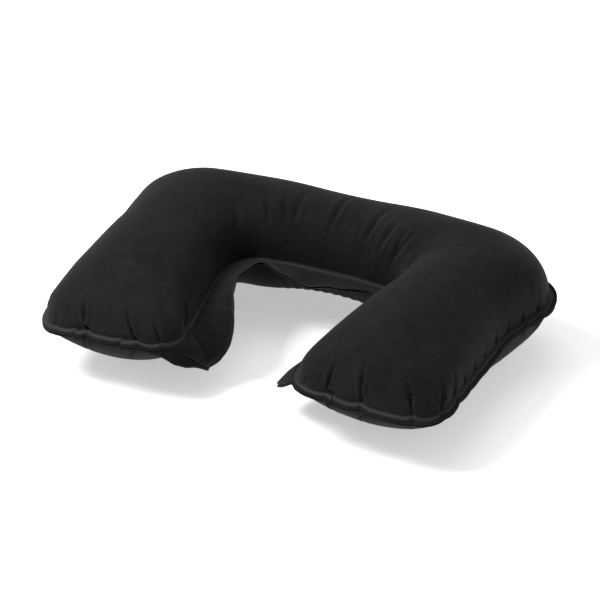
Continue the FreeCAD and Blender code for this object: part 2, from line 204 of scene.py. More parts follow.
top_rise = heights(50.0, 42.0, 138.0)
bottom_drop = heights(BOTTOM_DROP, 36.0, 115.0)
# The bottom sheet is a little slack under both back corners, so the arms carry the weight.
for corner in (CORNER, LAST - CORNER):
    bottom_drop *= 1 - 0.15 * np.exp(-((np.arange(STATIONS) - corner) / (0.3 * BACK_STEPS)) ** 2)
print("crest %.0f mm over the seam, bottom %.0f mm under it" % (top_rise.max(), bottom_drop.max()))


# %% Tube grids
def tube(rise, sign, fullness):
    """Grid of points over one sheet's tube: stations by steps across."""
    angle = np.linspace(0, math.pi, ACROSS + 1)
    span = np.sign(np.cos(angle)) * np.abs(np.cos(angle)) ** (2 / fullness)
    lift = np.sin(angle) ** (2 / fullness)
    middle = (outer_rail + neck_rail) / 2
    plan = middle[:, None, :] + (outer_rail - middle)[:, None, :] * span[None, :, None]
    z = sign * rise[:, None] * lift[None, :]
    return np.concatenate([plan, z[:, :, None]], axis=2)


top_tube = tube(top_rise, 1, 2.12)
bottom_tube = tube(bottom_drop, -1, 1.94)
print("tube grids:", top_tube.shape, bottom_tube.shape)

# %% [markdown]
# ## Closer rows where the film creases
# A crease is only about 4 mm wide, so rows 4 mm apart can't show one. The rows are laid again
# along the tube, 2.6 mm apart in smooth stretches and 0.65 mm apart beside each pucker.
# Smooth interpolation through four neighbours keeps the shape.

# %% Smooth rows between the given ones
def smooth_rows(grid, at):
    """Rows of a grid at fractional row numbers, on a smooth curve through the given rows."""
    last = len(grid) - 1
    base = np.minimum(np.floor(at).astype(int), last - 1)
    t = (at - base).reshape((-1,) + (1,) * (grid.ndim - 1))
    before = grid[np.maximum(base - 1, 0)]
    a, b = grid[base], grid[base + 1]
    after = grid[np.minimum(base + 2, last)]
    return 0.5 * (2 * a + (b - before) * t + (2 * before - 5 * a + 4 * b - after) * t ** 2
                  + (3 * a - before - 3 * b + after) * t ** 3)


print("halfway between the first two stations:", smooth_rows(outer_rail, np.array([0.5]))[0])

# %% Rows beside the puckers
# A pucker belongs to a weld only if its foot is within FOOT_REACH of it.
FOOT_REACH = 14.0
FINE = 12
END_SPACING = 1.4


def foot_of(x, y, path):
    """(row number, distance) of the place on a path nearest to a point."""
    gap = np.linalg.norm(path - [x, y], axis=1)
    return int(gap.argmin()), float(gap.min())


def closer_rows(spacing, near_spacing, reach=5.0):
    """Fractional row numbers, closer together beside every pucker and at both arm ends."""
    fine = np.linspace(0, LAST, LAST * FINE + 1)
    rails = [smooth_rows(outer_rail, fine), smooth_rows(neck_rail, fine)]
    step = np.maximum(*[np.linalg.norm(np.gradient(r, axis=0), axis=1) for r in rails])
    rate = step / spacing
    for x, y, *_ in PUCKERS:
        found = [foot_of(x, y, r) for r in rails]
        side = 0 if found[0][1] < found[1][1] else 1
        row, gap = found[side]
        if gap < FOOT_REACH:
            near = np.linalg.norm(rails[side] - rails[side][row], axis=1)
            rate = np.maximum(rate, step / near_spacing * (near < reach))
    for end in (slice(0, 3 * FINE), slice(-3 * FINE, None)):
        rate[end] = np.maximum(rate[end], step[end] / END_SPACING)
    count = np.concatenate([[0], np.cumsum((rate[1:] + rate[:-1]) / 2)])
    return np.interp(np.linspace(0, count[-1], int(count[-1]) + 1), count, fine)


ROWS = closer_rows(2.6, 0.65)
COLUMNS = np.linspace(0, ACROSS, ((3 * ACROSS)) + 1)


def fine_grid(grid):
    """The same grid with the closer rows and columns."""
    across = smooth_rows(np.swapaxes(smooth_rows(grid, ROWS), 0, 1), COLUMNS)
    return np.swapaxes(across, 0, 1)


top_skin_grid = fine_grid(top_tube)
bottom_skin_grid = fine_grid(bottom_tube)
outer_line = smooth_rows(outer_rail, ROWS)
neck_line = smooth_rows(neck_rail, ROWS)
print("skin grids:", top_skin_grid.shape)

# %% [markdown]
# ## Rim and neck flap
# Outside the weld both sheets carry on to their cut edges. First comes the crushed band that the
# welding bar leaves, about 3 mm wide, then a shallow groove, then two free lips. Round the outside
# and across the arm ends the lips are 6 mm from the weld. Inside the neck gap they are about
# 30 mm from it and make the flap, which sags, tilts and waves, because no air holds it.

# %% Flap edge
flap_half = rail((88, -116.5), (9, -115), 28, (43, 4), (43, 24.5), 7, (15.6, 24.5), 60,
                 (0, 24.5))
flap_line = smooth_rows(whole(flap_half), ROWS)


def by_station(marks):
    """Smooth value at every row from (station, value) pairs."""
    stations = [m[0] for m in marks]
    values = [m[1] for m in marks]
    at = np.interp(ROWS, stations, np.arange(len(marks)))
    base = np.minimum(np.floor(at).astype(int), len(marks) - 2)
    ease = 0.5 - 0.5 * np.cos(np.pi * (at - base))
    values = np.array(values, float)
    return values[base] + (values[base + 1] - values[base]) * ease


print("flap's free edge %.0f mm long" % np.linalg.norm(np.diff(flap_line, axis=0), axis=1).sum())

# %% How the flap and the rim sag
# The sags are degrees below level. The parting is how far each lip's free edge stands off the
# seam plane, in millimetres.
SIDE = END_STEPS + 0.68 * ARM_STEPS
sag = np.radians(by_station([
    (0, 50), (END_STEPS * 0.6, 52), (END_STEPS, 59), (END_STEPS + 0.13 * ARM_STEPS, 42),
    (END_STEPS + 0.25 * ARM_STEPS, 14), (END_STEPS + 0.36 * ARM_STEPS, -12),
    (END_STEPS + 0.48 * ARM_STEPS, -27), (END_STEPS + 0.64 * ARM_STEPS, -31), (CORNER, -21),
    (CORNER + 0.5 * BACK_STEPS, -8), (MIDDLE, 1), (LAST - CORNER - 0.5 * BACK_STEPS, -10),
    (LAST - CORNER + 3, -14), (LAST - END_STEPS - 0.74 * ARM_STEPS, 70),
    (LAST - END_STEPS - 0.45 * ARM_STEPS, 66), (LAST - END_STEPS - 0.2 * ARM_STEPS, 42),
    (LAST - END_STEPS, 47), (LAST - END_STEPS * 0.6, 50), (LAST, 50)]))
parting = by_station([
    (0, 0.3), (END_STEPS, 1.0), (SIDE, 0.3), (CORNER, 0.5), (MIDDLE, 0.4),
    (LAST - CORNER, 0.5), (LAST - END_STEPS, 0.9), (LAST, 0.3)])
rim_sag = np.radians(by_station([
    (0, 50), (END_STEPS * 0.5, 66), (END_STEPS, 62), (SIDE, 40), (CORNER, 14), (MIDDLE, 20),
    (LAST - CORNER, 2), (LAST - CORNER + 14, 16), (LAST - END_STEPS, 38), (LAST, 48)]))

print("flap sags %.0f to %.0f degrees" % (np.degrees(sag.min()), np.degrees(sag.max())))

# %% Section across a margin
BAND = np.array([0.4, 1.0, 1.7, 2.4, 3.0, 3.4, 3.8, 4.2])
FREE_STEPS = 10
GROOVE = 3.6


def offsets(width):
    """Distances from the weld to each column of a margin of that width."""
    rest = BAND[-1] + (width - BAND[-1])[:, None] * (np.arange(1, FREE_STEPS + 1) / FREE_STEPS)
    return np.concatenate([np.repeat(BAND[None, :], len(width), axis=0), rest], axis=1)


def lip_height(off, width, part):
    """Height of a sheet's outside over the seam plane across a margin."""
    pressed = 0.55 + 0.15 * np.sin(np.clip(off / 3.2, 0, 1) * math.pi)
    groove = -0.8 * np.exp(-((off - GROOVE) / 0.45) ** 2)
    free = np.clip((off - GROOVE) / np.maximum(width - GROOVE, 1e-6), 0, 1)
    return pressed + groove + part * free ** 0.8


print("columns of a margin:", len(BAND) + FREE_STEPS)


# %% Margin grids
def across_way(line, other):
    """Level unit vectors from a line away from the tube."""
    tangent = np.gradient(line, axis=0)
    tangent /= np.linalg.norm(tangent, axis=1)[:, None]
    normal = np.column_stack([-tangent[:, 1], tangent[:, 0]])
    normal *= np.where((normal * (line - other)).sum(1) < 0, -1, 1)[:, None]
    return normal


def margin_grid(line, way, width, part, sign, droop=None, wave=None):
    """Grid of points across a margin, from the first column outside the weld to the free edge."""
    off = offsets(width)
    share = np.clip((off - 2.0) / np.maximum(width[:, None] - 2.0, 1e-6), 0, 1)
    flat = off.copy()
    fall = np.zeros_like(off)
    if droop is not None:
        local = droop[:, None] * (0.45 + 0.65 * np.minimum(1, share * 1.8))
        run = np.diff(np.concatenate([np.zeros((len(off), 1)), off], axis=1), axis=1)
        flat = np.cumsum(run * np.cos(local), axis=1)
        fall = -np.cumsum(run * np.sin(local), axis=1)
    if wave is not None:
        fall = fall + wave[:, None] * share ** 1.7
    plan = line[:, None, :] + way[:, None, :] * flat[:, :, None]
    height = sign * lip_height(off, width[:, None], part[:, None]) + fall
    return np.concatenate([plan, height[:, :, None]], axis=2)


def running(line):
    """Distance along a line at each of its points."""
    return np.concatenate([[0], np.cumsum(np.linalg.norm(np.diff(line, axis=0), axis=1))])


print("outer rim %.0f mm round" % running(outer_line)[-1])

# %% Widths, partings and waves
# The flap starts to widen FLAP_START of the way across the arm end, counted from its outer corner.
FLAP_START = 0.68
neck_run = running(neck_line)
flap_reach = flap_line - neck_line
flap_width = np.linalg.norm(flap_reach, axis=1)
flap_way = flap_reach / flap_width[:, None]
from_end = np.minimum(ROWS, LAST - ROWS) / END_STEPS
tucked = np.exp(-((ROWS - (LAST - CORNER + 9)) / 17.0) ** 4)
flap_width = flap_width * (1 - 0.5 * tucked)
flap_width += 4.0 * np.exp(-((from_end - 1.5) / 0.7) ** 2)
flap_width = RIM + (flap_width - RIM) * np.clip((from_end - FLAP_START) / (1 - FLAP_START), 0, 1)
outer_way = across_way(outer_line, neck_line)
outer_way[0] = outer_way[-1] = [0, -1]
rim_width = np.full(len(outer_line), RIM)
rim_part = 0.35 + 0.1 * np.sin(running(outer_line) / 23.0)
rim_wave = 0.35 * np.sin(running(outer_line) / 17.0) + 0.2 * np.sin(running(outer_line) / 7.3 + 1)


def flap_wave(seed):
    """Slow waves of the free edge, a few millimetres high."""
    phase = np.random.default_rng(seed).uniform(0, 6.28, 4)
    fade = np.clip((flap_width - 7) / 12, 0, 1)
    return fade * sum(a * np.sin(neck_run / w + p) for a, w, p in zip(
        (1.2, 0.7, 0.25), (24.0, 12.5, 6.1), phase))


print("flap %.0f mm wide at most" % flap_width.max())

# %% [markdown]
# ## One welded blank per sheet
# Each sheet is one grid of points: rim, tube and flap side by side, with a strip across each arm
# end. Neighbouring parts share their edge points, so merging points that coincide makes one skin.

# %% Nicks and droop of the weld
def smoothstep(t):
    """0 to 1 with soft ends."""
    t = np.clip(t, 0, 1)
    return t * t * (3 - 2 * t)


def weld_nicks(line):
    """How far each row's weld is drawn in, and how far it is lifted, at the puckers."""
    pull = np.zeros(len(line))
    lift = np.zeros(len(line))
    for x, y, run, depth, lean, width in PUCKERS:
        row, gap = foot_of(x, y, line)
        if gap < FOOT_REACH:
            near = np.linalg.norm(line - line[row], axis=1)
            dip = 0.35 * np.exp(-(near / 6.0) ** 2) + 0.35 * np.exp(-(near / 1.9) ** 2)
            pull = np.maximum(pull, depth * dip)
            lift = np.maximum(lift, 0.35 * depth * np.exp(-(near / 4.5) ** 2))
    return pull, lift


def end_droop(grid):
    """The weld hangs a few millimetres lower round the arm ends, most on the right arm."""
    x, y = grid[:, :, 0], grid[:, :, 1]
    share = np.where(x > 0, 1.0, 0.8 * smoothstep((-x - 110) / 50))
    return -3.2 * share * smoothstep((-72 - y) / 34)


print("deepest nick in the outer weld %.1f mm" % weld_nicks(outer_line)[0].max())

# %% Draw a sheet in at its nicks
END_ROWS = 40


def nick_everything(tube_grid, rim, flap, strips):
    """Draws welds and margins in at the puckers; the pull fades up the tube."""
    for column, line, way, margin in ((0, outer_line, outer_way, rim),
                                      (-1, neck_line, flap_way, flap)):
        pull, lift = weld_nicks(line)
        rows = slice(1, -1)
        edge = tube_grid[:, column, :].copy()
        reach = np.linalg.norm(tube_grid - edge[:, None, :], axis=2)
        fade = np.exp(-(reach / 9.0) ** 2)
        fade[0] = fade[-1] = 0
        tube_grid[:, :, :2] -= way[:, None, :] * (pull[:, None] * fade)[:, :, None]
        tube_grid[:, :, 2] += lift[:, None] * fade
        far = np.clip((np.arange(margin.shape[1]) - len(BAND)) / FREE_STEPS, 0, 1)
        soften = 1 - 0.55 * far
        margin[rows, :, :2] -= way[rows, None, :] * (pull[rows, None] * soften)[:, :, None]
        margin[rows, :, 2] += lift[rows, None] * soften
    for row, strip in ((0, strips[0]), (-1, strips[1])):
        line = tube_grid[row, :, :2].copy()
        pull, lift = weld_nicks(line)
        pull[0] = pull[-1] = lift[0] = lift[-1] = 0
        edge = tube_grid[row].copy()
        rows = range(0, END_ROWS) if row == 0 else range(-END_ROWS, 0)
        for r in rows:
            reach = np.linalg.norm(tube_grid[r] - edge, axis=1)
            fade = np.exp(-(reach / 9.0) ** 2)
            tube_grid[r, :, 1] += pull * fade
            tube_grid[r, :, 2] += lift * fade
        strip[:, :, 1] += pull[:, None]
        strip[:, :, 2] += lift[:, None]


print("nicks at the arm ends reach", END_ROWS, "rows up the tube")

# %% The parts of each sheet
FLAP_SEED = 5


def sheet_parts(tube_grid, sign):
    """Tube, outer rim, flap and two end strips of one sheet, as separate grids."""
    tube_grid = tube_grid.copy()
    tube_grid[:, :, 2] += sign * 0.55
    low = end_droop(tube_grid) * np.exp(-(tube_grid[:, :, 2] / 18.0) ** 2)
    wave = flap_wave(FLAP_SEED)
    rim = margin_grid(outer_line, outer_way, rim_width, rim_part, sign, rim_sag, rim_wave)
    wide, drop = flap_width, sag
    if sign < 0:
        near_tip = np.exp(-((from_end - FLAP_START) / 0.17) ** 2) * (ROWS < MIDDLE)
        wide = flap_width + 12.0 * near_tip
        drop = sag + np.radians(8) * near_tip
    flap = margin_grid(neck_line, flap_way, wide, parting, sign, drop, wave)
    count = tube_grid.shape[1]
    share = np.linspace(0, 1, count)
    strips = []
    for row in (0, -1):
        strip_width = rim_width[row] + (flap_width[row] - rim_width[row]) * share
        strip_part = rim_part[row] + (parting[row] - rim_part[row]) * share
        strip_wave = rim_wave[row] + (wave[row] - rim_wave[row]) * share
        way = np.repeat([[0.0, -1.0]], count, axis=0)
        way = way + (flap_way[row] - way) * smoothstep((share - 0.5) * 2)[:, None]
        strips.append(margin_grid(tube_grid[row, :, :2], way, strip_width, strip_part, sign,
                                  rim_sag[row] + (sag[row] - rim_sag[row]) * share, strip_wave))
    nick_everything(tube_grid, rim, flap, strips)
    tube_grid[:, :, 2] += low
    for margin in (rim, flap, *strips):
        margin[:, :, 2] += end_droop(margin)
    return tube_grid, rim, flap, strips


top_parts = sheet_parts(top_skin_grid, 1)
bottom_parts = sheet_parts(bottom_skin_grid, -1)
print("rim, flap and end strips:", [p.shape for p in top_parts[1:3]],
      [p.shape for p in top_parts[3]])

# %% [markdown]
# ## Creases
# Each pucker is a groove pressed into the sheet from its foot on the weld, with a low shoulder on
# both sides where the film is pushed out. Longer soft folds cross the inner slope behind the neck,
# where the film on the short side of the bend is too long for its place.

# %% Longer folds over the neck slope
# from point, to point, depth, half width
FOLDS = [
    ((-83, 59, 44), (-69, 43, 24), 1.5, 2.2), ((-62, 77, 46), (-49, 54, 24), 1.9, 2.1),
    ((-50, 84, 46), (-37, 59, 27), 1.8, 1.9), ((-42, 86, 45), (-28, 63, 29), 1.5, 1.8),
    ((-36, 94, 45), (-31, 60, 25), 1.9, 2.0), ((-2, 101, 43), (-1, 60, 24), 3.4, 1.9),
    ((37, 95, 45), (31, 57, 19), 3.4, 2.0), ((53, 80, 46), (44, 54, 22), 2.8, 2.0),
    ((73, 70, 46), (55, 49, 15), 2.3, 2.1), ((65, 73, 46), (58, 51, 24), 1.8, 1.9),
    ((18, 92, 44), (15, 64, 27), 0.8, 2.2), ((84, 46, 46), (71, 34, 24), 1.2, 2.2),
]
UNDER_FOLDS = [((x, 57, 12), (x * 1.12, 80, 36), 1.5, 2.0) for x in range(-44, 45, 8)]
print(len(FOLDS), "folds on the top sheet,", len(UNDER_FOLDS), "under the back")

# %% All creases, each with its two ends
CREASES = []
for x, y, run, depth, lean, width in PUCKERS:
    lines = (outer_line, neck_line, top_skin_grid[0, :, :2], top_skin_grid[-1, :, :2])
    ways = (outer_way, flap_way, None, None)
    found = [foot_of(x, y, line) for line in lines]
    side = min(range(4), key=lambda n: found[n][1])
    row = found[side][0]
    foot = lines[side][row]
    out = np.array([0.0, -1.0]) if ways[side] is None else ways[side][row]
    along_way = np.array([-out[1], out[0]])
    rise_share = 0.86 if run > 16 else 0.92
    flat = math.sqrt(1 - rise_share ** 2)
    plan = -out * flat * run + along_way * lean * run
    CREASES.append((np.array([foot[0], foot[1], 0.0]),
                    np.array([foot[0] + plan[0], foot[1] + plan[1], rise_share * run]),
                    depth, width, "weld"))
for start, end, depth, width in FOLDS:
    CREASES.append((np.array(start, float), np.array(end, float), depth, width, "top"))
for start, end, depth, width in UNDER_FOLDS:
    CREASES.append((np.array(start, float), np.array(end, float), depth, width, "bottom"))
print(len(CREASES), "creases")


# %% Press the creases in
def grid_normals(grid):
    """Unit normals of a grid of points, pointing up or outwards."""
    normal = np.cross(np.gradient(grid, axis=1), np.gradient(grid, axis=0))
    size = np.linalg.norm(normal, axis=2, keepdims=True)
    return normal / np.maximum(size, 1e-9)


def press_creases(grid, sign, strength):
    """A tube grid pressed in along its grooves, and the depth of the deepest one."""
    normal = grid_normals(grid)
    if normal[len(grid) // 2, grid.shape[1] // 2, 2] * sign < 0:
        normal = -normal
    move = np.zeros(grid.shape[:2])
    for start, end, depth, width, kind in CREASES:
        start, end = start * [1, 1, sign], end * [1, 1, sign]
        if kind == ("bottom" if sign > 0 else "top"):
            continue
        length = np.linalg.norm(end - start)
        way = (end - start) / length
        rel = grid - start
        close = np.linalg.norm(grid - (start + end) / 2, axis=2) < length * 0.75 + 12
        rel, norm = rel[close], normal[close]
        t = rel @ way / length
        side = rel - t[:, None] * length * way
        side = side - (side * norm).sum(1)[:, None] * norm
        lateral = np.linalg.norm(side, axis=1)
        if kind == "weld":
            run = (0.12 + 0.88 * smoothstep(t / 0.22)) * (1 - smoothstep((t - 0.35) / 0.65))
            spread = width * (0.5 + 0.45 * np.clip(t, 0, 1))
        else:
            run = smoothstep(t / 0.3) * (1 - smoothstep((t - 0.55) / 0.45))
            spread = width * (1.25 - 0.5 * np.clip(t, 0, 1))
        groove = 0.55 * np.exp(-(lateral / spread) ** 2) + 0.45 * np.exp(-1.3 * lateral / spread)
        shoulder = 0.22 * np.exp(-((lateral - 2.4 * spread) / (1.2 * spread)) ** 2)
        move[close] += strength * depth * run * (shoulder - groove)
    return grid + normal * move[:, :, None], -move.min()


top_tube_grid, top_depth = press_creases(top_parts[0], 1, 1.0)
bottom_tube_grid, bottom_depth = press_creases(bottom_parts[0], -1, 0.8)
print("deepest creases: top %.1f mm, bottom %.1f mm" % (top_depth, bottom_depth))

# %% [markdown]
# ## Meshes
# The grids become two meshes. Each keeps two values at every point that the material reads: how
# far the weld has crushed the flock there, and how far out on the loose flap the point is, which sets
# the painted shade on the flap.

# %% Build the two skins
def quads(rows, columns, base, flip):
    """Faces of a rows-by-columns grid whose first point has the number base."""
    n = base + np.arange(rows * columns).reshape(rows, columns)
    faces = np.stack([n[:-1, :-1], n[:-1, 1:], n[1:, 1:], n[1:, :-1]], axis=-1).reshape(-1, 4)
    return faces[:, ::-1] if flip else faces


def skin_mesh(name, tube_grid, rim, flap, strips, sign):
    """One sheet as a mesh in the frame's metres."""
    points, faces, weld, lip = [], [], [], []
    pieces = [(tube_grid, None)]
    pieces.append((np.concatenate([tube_grid[:, :1], rim], axis=1), "outer"))
    pieces.append((np.concatenate([tube_grid[:, -1:], flap], axis=1), "neck"))
    pieces.append((np.concatenate([tube_grid[0][:, None], strips[0]], axis=1), "end left"))
    pieces.append((np.concatenate([tube_grid[-1][:, None], strips[1]], axis=1), "end right"))
    base = 0
    for grid, part in pieces:
        rows, columns = grid.shape[:2]
        flip = (part in ("outer", "end right")) != (sign < 0)
        points.append(grid.reshape(-1, 3))
        faces.append(quads(rows, columns, base, not flip))
        band = np.zeros((rows, columns))
        edge = np.zeros((rows, columns))
        if part:
            order = np.concatenate([[0.0], BAND, np.full(FREE_STEPS, 9.0)])
            band[:] = smoothstep((order + 0.2) / 0.6) * (1 - smoothstep((order - 3.1) / 0.4))
            # How far out on the loose flap each point is; the material darkens the flap with it as
            # painted shade.
            if part == "neck":
                edge[:, 1 + len(BAND):] = np.linspace(0, 1, FREE_STEPS)[None, :]
            band[:, -1] = 0.8
        else:
            reach = np.minimum(np.linalg.norm(grid - grid[:, :1], axis=2),
                               np.linalg.norm(grid - grid[:, -1:], axis=2))
            band = 0.25 * np.exp(-(reach / 1.2) ** 2)
        weld.append(band.ravel())
        lip.append(edge.ravel())
        base += rows * columns
    points = np.concatenate(points)
    place = points + [0, Y_SHIFT, SEAM_Z]
    mesh = bpy.data.meshes.new(name)
    mesh.from_pydata((place / 1000).tolist(), [], np.concatenate(faces).tolist())
    for label, values in (("weld_band", weld), ("lip", lip)):
        layer = mesh.attributes.new(label, "FLOAT", "POINT")
        layer.data.foreach_set("value", np.concatenate(values).astype(np.float32))
    skin = bpy.data.objects.new(name, mesh)
    bpy.context.scene.collection.objects.link(skin)
    return skin


top_skin = skin_mesh("top_skin", top_tube_grid, *top_parts[1:], 1)
bottom_skin = skin_mesh("bottom_skin", bottom_tube_grid, *bottom_parts[1:], -1)
print("top %d points, bottom %d points" % (
    len(top_skin.data.vertices), len(bottom_skin.data.vertices)))

# %% [markdown]
# ## Joining the parts and giving the sheets their thickness
# Points that coincide are merged, so rim, tube and flap become one skin. The film with its pile
# is about half a millimetre thick, and it's thickened inwards, so the outside stays where it is.
# The valve's ring is stiff and flat, so round it the bottom sheet lies flat too, and a round hole
# is cut for the ring's neck.

# %% Where the valve sits
# The ring stands a little proud of the sheet, and its neck passes through the hole.
RING_PROUD = 0.3
HOLE_RADIUS = 10.7


def seat_of(node):
    """Centre and outward axis of a flat ring, from its points: its thinnest direction."""
    points = np.array([v.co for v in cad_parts[node].data.vertices]) * 1000
    low, high = points.min(axis=0), points.max(axis=0)
    spread = np.linalg.eigh(np.cov((points - points.mean(axis=0)).T))
    axis = spread[1][:, 0]
    axis = axis if axis[1] > 0 else -axis
    height = (points - (low + high) / 2) @ axis
    return (low + high) / 2 + axis * (height.max() - RING_PROUD), axis


valve_at, valve_out = seat_of("valve_base")
print("valve at", np.round(valve_at, 1), "pointing", np.round(valve_out, 2))


# %% Merge the parts of each sheet
def merge(skin):
    """Joins points that coincide, and turns all faces outwards."""
    work = bmesh.new()
    work.from_mesh(skin.data)
    before = len(work.verts)
    bmesh.ops.remove_doubles(work, verts=work.verts, dist=1e-5)
    bmesh.ops.recalc_face_normals(work, faces=work.faces)
    print(skin.name, "merged", before - len(work.verts), "points")
    work.to_mesh(skin.data)
    work.free()


merge(top_skin)
merge(bottom_skin)


# %% Lay the bottom sheet on the floor and flat round the valve
SHEET_UNDER_RING = -0.05


def settle(skin, soft=1.4):
    """Presses the lowest part flat on the floor, as the pillow's own weight does."""
    for vertex in skin.data.vertices:
        height = vertex.co.z * 1000
        if height < soft:
            vertex.co.z = soft * math.exp((height - soft) / soft) / 1000


def flatten_round_valve(skin, flat=14.0, blend=34.0):
    """Eases the sheet onto the ring's plane close to the valve."""
    for vertex in skin.data.vertices:
        rel = np.array(vertex.co) * 1000 - valve_at
        height = rel @ valve_out
        level = rel - height * valve_out
        reach = np.linalg.norm(level)
        if reach < blend and height > -30:
            keep = smoothstep((reach - flat) / (blend - flat))
            goal = height * keep + (1 - keep) * SHEET_UNDER_RING
            vertex.co = Vector((valve_at + level + goal * valve_out) / 1000)


flatten_round_valve(bottom_skin)
settle(bottom_skin)
print("lowest point %.2f mm over the floor" % (min(v.co.z for v in bottom_skin.data.vertices) * 1000))


# %% Cut the hole
def cut_hole(skin, radius):
    """Removes the sheet inside the hole and rounds the edge that's left."""
    work = bmesh.new()
    work.from_mesh(skin.data)
    at, out = Vector(valve_at / 1000), Vector(valve_out)

    def reach(v):
        rel = v.co - at
        height = rel.dot(out)
        return (rel - out * height).length * 1000 if abs(height) < 0.03 else 1e9
    inside = [v for v in work.verts if reach(v) < radius - 0.3]
    bmesh.ops.delete(work, geom=inside, context="VERTS")
    for v in work.verts:
        if v.is_boundary and reach(v) < radius + 6:
            rel = v.co - at
            height = rel.dot(out)
            level = (rel - out * height).normalized() * radius / 1000
            v.co = at + level + out * height
    work.to_mesh(skin.data)
    work.free()


cut_hole(bottom_skin, HOLE_RADIUS)
print("hole %.1f mm across, %d points left" % (2 * HOLE_RADIUS, len(bottom_skin.data.vertices)))

# %% Thicken
FILM = 0.00045


def thicken(skin, thickness):
    """Gives a skin its thickness inwards."""
    solid = skin.modifiers.new("Film", "SOLIDIFY")
    solid.thickness = thickness
    solid.offset = -1
    solid.use_quality_normals = True
    bpy.context.view_layer.objects.active = skin
    with bpy.context.temp_override(object=skin, active_object=skin):
        bpy.ops.object.modifier_apply(modifier=solid.name)
    for face in skin.data.polygons:
        face.use_smooth = True


for skin in (top_skin, bottom_skin):
    thicken(skin, FILM)
    print(skin.name, len(skin.data.polygons), "faces")

# %% [markdown]
# ## Whose place each skin takes
# The skins ride on the pillow's body and stand in for the two CAD sheets. Both are soft and hold
# air.

# %% Hand the skins to the frame
for skin, node in ((top_skin, "top_panel"), (bottom_skin, "bottom_panel")):
    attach(skin, "pillow")
    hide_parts(node)
    print(skin.name, "rides on pillow and replaces", node)

# %% [markdown]
# ## Materials
# One function turns a hex colour into the linear values that shaders want, and one adds a node.
# Pattern sizes are in millimetres: object coordinates are in metres, so a noise whose features
# are `size` millimetres across has the scale 1000 / size.

# %% Helpers for materials
def colour(hex_code):
    """Linear RGBA from an sRGB hex code."""
    parts = [int(hex_code[n:n + 2], 16) / 255 for n in (0, 2, 4)]
    linear = [c / 12.92 if c <= 0.04045 else ((c + 0.055) / 1.055) ** 2.4 for c in parts]
    return tuple(linear) + (1.0,)


def features(size_mm):
    """Scale of a noise whose features have that size."""
    return 1000.0 / size_mm


def new_material(name):
    """An empty material and its node tree."""
    material = bpy.data.materials.new(name)
    material.use_nodes = True
    material.node_tree.nodes.clear()
    return material, material.node_tree


def add(tree, kind, settings=None, **sockets):
    """Adds a node; a socket is given a plain value or the output that feeds it."""
    node = tree.nodes.new(kind)
    for key, value in (settings or {}).items():
        setattr(node, key, value)
    for key, value in sockets.items():
        socket = node.inputs[int(key[1:])] if key[0] == "n" and key[1:].isdigit() else (
            node.inputs[key.replace("_", " ")])
        if isinstance(value, bpy.types.NodeSocket):
            tree.links.new(value, socket)
        else:
            socket.default_value = value
    return node


print("linear value of mid grey 808080: %.3f" % colour("808080")[0])

# %% [markdown]
# ### Flocked PVC
# Flock is a pile of short rayon fibres glued upright to the film. It's black and very matt, but
# the fibre tips catch light at grazing angles, which is what sheen does. Brushing lays the pile
# this way and that, so the black is mottled softly over a centimetre or two. Under the welding
# bar the fibres are crushed flat and fused: the band is a little lighter and shinier. Real fibres
# are 0.02 mm thick; the grain is drawn at 0.5 mm, or it would vanish at any normal viewing size.

# %% Patterns in the flock
flock, tree = new_material("Black flocked PVC")
place = add(tree, "ShaderNodeTexCoord").outputs["Object"]
brushed = add(tree, "ShaderNodeTexNoise", Vector=place, Scale=features(16), Detail=3.0,
              Roughness=0.55, Distortion=0.6).outputs["Fac"]
broad = add(tree, "ShaderNodeTexNoise", Vector=place, Scale=features(55), Detail=2.0,
            Roughness=0.5).outputs["Fac"]
grain = add(tree, "ShaderNodeTexNoise", Vector=place, Scale=features(0.55), Detail=3.0,
            Roughness=0.7).outputs["Fac"]
clump = add(tree, "ShaderNodeTexNoise", Vector=place, Scale=features(2.2), Detail=3.0,
            Roughness=0.6).outputs["Fac"]
speckle = add(tree, "ShaderNodeTexNoise", Vector=place, Scale=features(1.3), Detail=2.0,
              Roughness=0.6).outputs["Fac"]
weld_band = add(tree, "ShaderNodeAttribute", {"attribute_name": "weld_band"}).outputs["Fac"]
lip = add(tree, "ShaderNodeAttribute", {"attribute_name": "lip"}).outputs["Fac"]
mottle = add(tree, "ShaderNodeMath", {"operation": "ADD"}, n0=brushed, n1=broad).outputs[0]
mottle = add(tree, "ShaderNodeMath", {"operation": "ADD"}, n0=mottle, n1=clump).outputs[0]
mottle = add(tree, "ShaderNodeMath", {"operation": "ADD"}, n0=mottle, n1=speckle).outputs[0]
mottle = add(tree, "ShaderNodeMapRange", Value=mottle, From_Min=1.65, From_Max=2.4).outputs[0]
print("patterns:", len(tree.nodes), "nodes")

# %% Flocked sheet material
pile = add(tree, "ShaderNodeMix", {"data_type": "RGBA"}, Factor=mottle,
           n6=colour("050506"), n7=colour("17171a")).outputs[2]
# Painted shade on the loose neck flap: past the weld band its colour is mixed up to 80 % towards
# 060607.
flap_painted_shade = add(tree, "ShaderNodeMapRange", Value=lip, To_Min=0.0, To_Max=0.8,
            From_Max=0.15).outputs[0]
pile = add(tree, "ShaderNodeMix", {"data_type": "RGBA"}, Factor=flap_painted_shade, n6=pile,
           n7=colour("060607")).outputs[2]
pressed = add(tree, "ShaderNodeMix", {"data_type": "RGBA"}, Factor=weld_band, n6=pile,
              n7=colour("232327")).outputs[2]
roughness = add(tree, "ShaderNodeMapRange", Value=weld_band, To_Min=0.92, To_Max=0.6).outputs[0]
sheen = add(tree, "ShaderNodeMapRange", Value=weld_band, To_Min=0.1, To_Max=0.04).outputs[0]
height = add(tree, "ShaderNodeMath", {"operation": "MULTIPLY_ADD"}, n0=clump, n1=0.5,
             n2=grain).outputs[0]
relief = add(tree, "ShaderNodeBump", Height=height, Strength=0.55,
             Distance=0.0003).outputs["Normal"]
surface = add(tree, "ShaderNodeBsdfPrincipled", Base_Color=pressed, Roughness=roughness,
              IOR=1.47, Sheen_Weight=sheen, Sheen_Roughness=0.45, Normal=relief)
